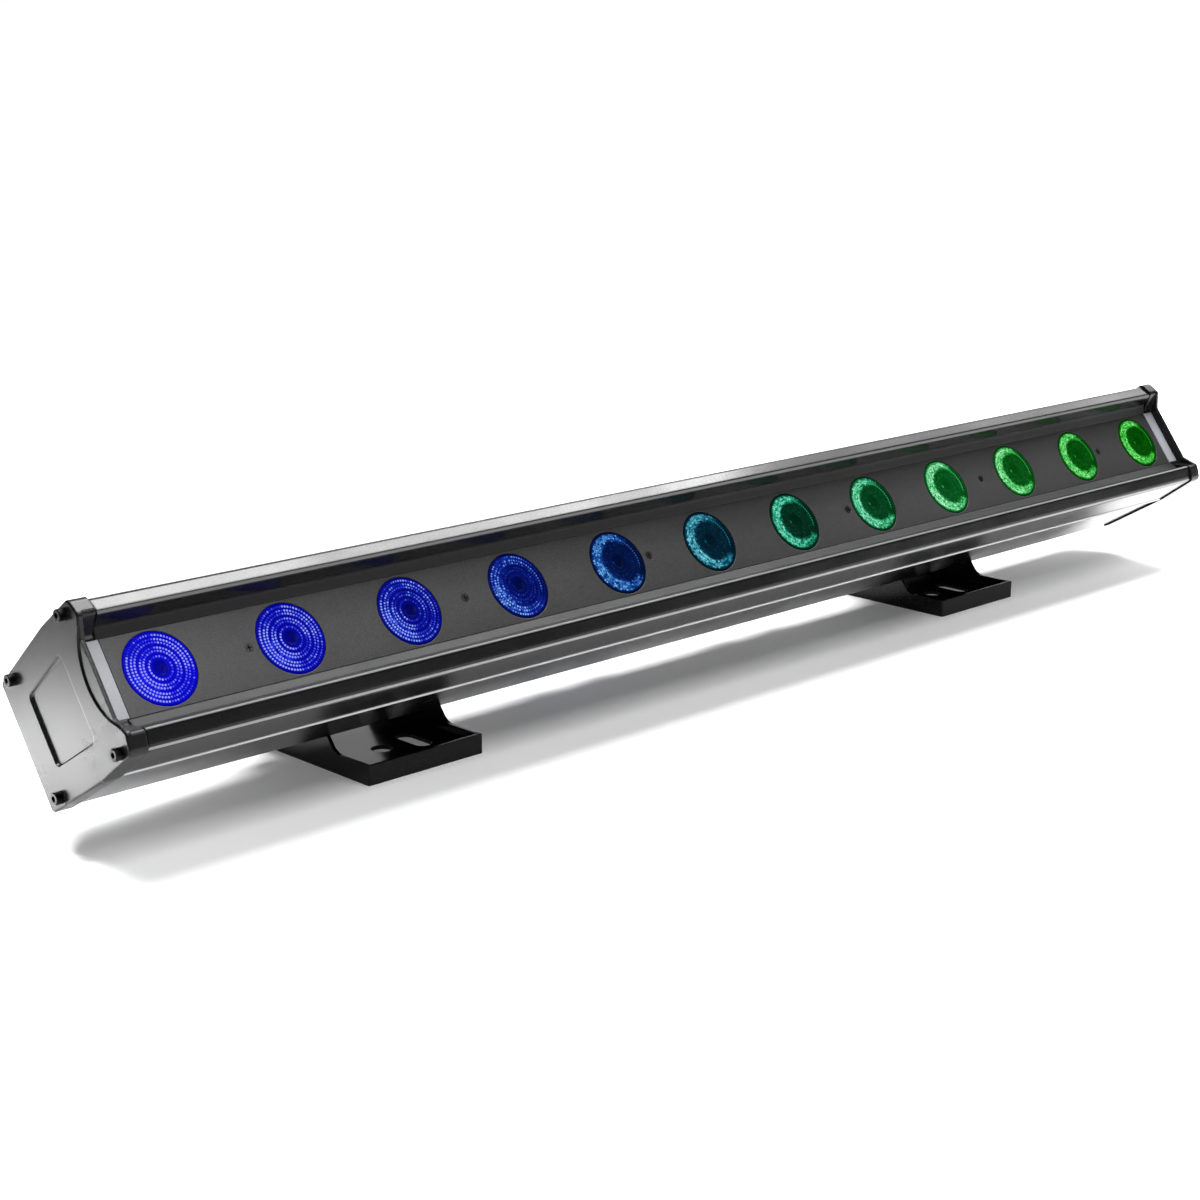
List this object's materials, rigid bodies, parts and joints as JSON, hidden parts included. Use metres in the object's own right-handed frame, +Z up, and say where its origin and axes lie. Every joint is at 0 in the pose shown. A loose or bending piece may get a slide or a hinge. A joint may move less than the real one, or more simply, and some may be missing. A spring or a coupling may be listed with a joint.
{
  "type": "led strip batten",
  "caption": "Extruded linear stage batten with a row of collimated colour LEDs under lipped edges, cast end caps, and a tilting yoke of two tray feet.",
  "frame": {"origin": "on the resting plane, midway between the round fixing holes of the two feet", "axes": "+X along the bar towards its green end, +Y to the back, +Z up; the lens panel faces -Y and up"},
  "size_m": [1.008, 0.1564, 0.1437],
  "materials": {
    "housing_black": "satin black powder coat on the aluminium profile",
    "cap_black": "satin black paint on die-cast aluminium",
    "panel_grey": "matt dark grey, fine texture",
    "strip_grey": "brushed grey anodised",
    "foot_black": "satin black powder coat on folded steel",
    "screw_black": "black oxide steel",
    "panel_screw": "grey-black countersunk screw",
    "bolt_steel": "zinc plated steel",
    "hinge_black": "black anodised aluminium block",
    "washer": "acetal friction disc",
    "knob_black": "fine textured black plastic",
    "gasket_rubber": "black silicone rubber",
    "board_white": "white solder mask on metal-core board",
    "emitter": "phosphor and clear silicone dome",
    "holder_black": "black polycarbonate",
    "supply_case": "plain sheet aluminium",
    "board_green": "green solder mask",
    "wire_sleeve": "woven black sleeve",
    "rear_panel_black": "fine textured black",
    "window": "clear acrylic over a dark display",
    "display": "dark display",
    "button": "moulded grey button",
    "connector_black": "black glass-filled nylon",
    "power_blue": "blue nylon inlet",
    "power_grey": "light grey nylon outlet",
    "lens_glow_01": "lit faceted collimator lens",
    "lens_glow_02": "lit faceted collimator lens",
    "lens_glow_03": "lit faceted collimator lens",
    "lens_glow_04": "lit faceted collimator lens",
    "lens_glow_05": "lit faceted collimator lens",
    "lens_glow_06": "lit faceted collimator lens",
    "lens_glow_07": "lit faceted collimator lens",
    "lens_glow_08": "lit faceted collimator lens",
    "lens_glow_09": "lit faceted collimator lens",
    "lens_glow_10": "lit faceted collimator lens",
    "lens_glow_11": "lit faceted collimator lens",
    "lens_glow_12": "lit faceted collimator lens"
  },
  "bodies": {
    "foot_left": {"foot_bracket_left": "foot_black", "hinge_bolt_left": "bolt_steel", "hinge_washers_left": "washer"},
    "head": {"housing_extrusion": "housing_black", "lens_panel": "panel_grey", "lens_panel_screws": "panel_screw", "lens_01": "lens_glow_01", "lens_02": "lens_glow_02", "lens_03": "lens_glow_03", "lens_04": "lens_glow_04", "lens_05": "lens_glow_05", "lens_06": "lens_glow_06", "lens_07": "lens_glow_07", "lens_08": "lens_glow_08", "lens_09": "lens_glow_09", "lens_10": "lens_glow_10", "lens_11": "lens_glow_11", "lens_12": "lens_glow_12", "lens_holders": "holder_black", "led_emitters": "emitter", "led_board_left": "board_white", "led_board_right": "board_white", "power_supply": "supply_case", "driver_board": "board_green", "control_board": "board_green", "wiring_harness": "wire_sleeve", "rear_panel": "rear_panel_black", "rear_panel_gasket": "gasket_rubber", "rear_panel_screws": "screw_black", "display_window": "window", "display_module": "display", "signal_input": "connector_black", "signal_output": "connector_black", "power_input": "power_blue", "power_output": "power_grey", "fuse_holder": "connector_black", "end_cap_left": "cap_black", "end_gasket_left": "gasket_rubber", "end_cap_screws_left": "screw_black", "panel_end_strip_left": "strip_grey", "hinge_block_left": "hinge_black", "hinge_block_screws_left": "screw_black", "end_cap_right": "cap_black", "end_gasket_right": "gasket_rubber", "end_cap_screws_right": "screw_black", "panel_end_strip_right": "strip_grey", "hinge_block_right": "hinge_black", "hinge_block_screws_right": "screw_black"},
    "foot_right": {"foot_bracket_right": "foot_black", "hinge_bolt_right": "bolt_steel", "hinge_washers_right": "washer"},
    "knob_left": {"tilt_knob_left": "knob_black"},
    "knob_right": {"tilt_knob_right": "knob_black"},
    "button_1": {"menu_button_1": "button"},
    "button_2": {"menu_button_2": "button"},
    "button_3": {"menu_button_3": "button"},
    "button_4": {"menu_button_4": "button"}
  },
  "joints": [
    {"name": "head_tilt", "type": "hinge", "parent": "foot_left", "child": "head", "pos_m": [-0.2705, 0.02689, 0.04273], "axis": [-1, 0, 0], "range_deg": [-3, 53]},
    {"name": "right_foot_tilt", "type": "hinge", "parent": "head", "child": "foot_right", "pos_m": [0.2705, 0.02689, 0.04273], "axis": [-1, 0, 0], "range_deg": [-53, 3]},
    {"name": "left_knob_turn", "type": "hinge", "parent": "foot_left", "child": "knob_left", "pos_m": [-0.33, 0.02689, 0.04273], "axis": [-1, 0, 0], "range_deg": [0, 360]},
    {"name": "right_knob_turn", "type": "hinge", "parent": "foot_right", "child": "knob_right", "pos_m": [0.33, 0.02689, 0.04273], "axis": [1, 0, 0], "range_deg": [0, 360]},
    {"name": "button_1_press", "type": "slide", "parent": "head", "child": "button_1", "axis": [0, -0.8039, 0.5948], "range_m": [0, 0.0008], "stiffness_N_per_m": 600, "springref_m": -0.0008},
    {"name": "button_2_press", "type": "slide", "parent": "head", "child": "button_2", "axis": [0, -0.8039, 0.5948], "range_m": [0, 0.0008], "stiffness_N_per_m": 600, "springref_m": -0.0008},
    {"name": "button_3_press", "type": "slide", "parent": "head", "child": "button_3", "axis": [0, -0.8039, 0.5948], "range_m": [0, 0.0008], "stiffness_N_per_m": 600, "springref_m": -0.0008},
    {"name": "button_4_press", "type": "slide", "parent": "head", "child": "button_4", "axis": [0, -0.8039, 0.5948], "range_m": [0, 0.0008], "stiffness_N_per_m": 600, "springref_m": -0.0008}
  ],
  "couplings": [
    {"joint": "right_foot_tilt", "follows": "head_tilt", "ratio": -1}
  ]
}
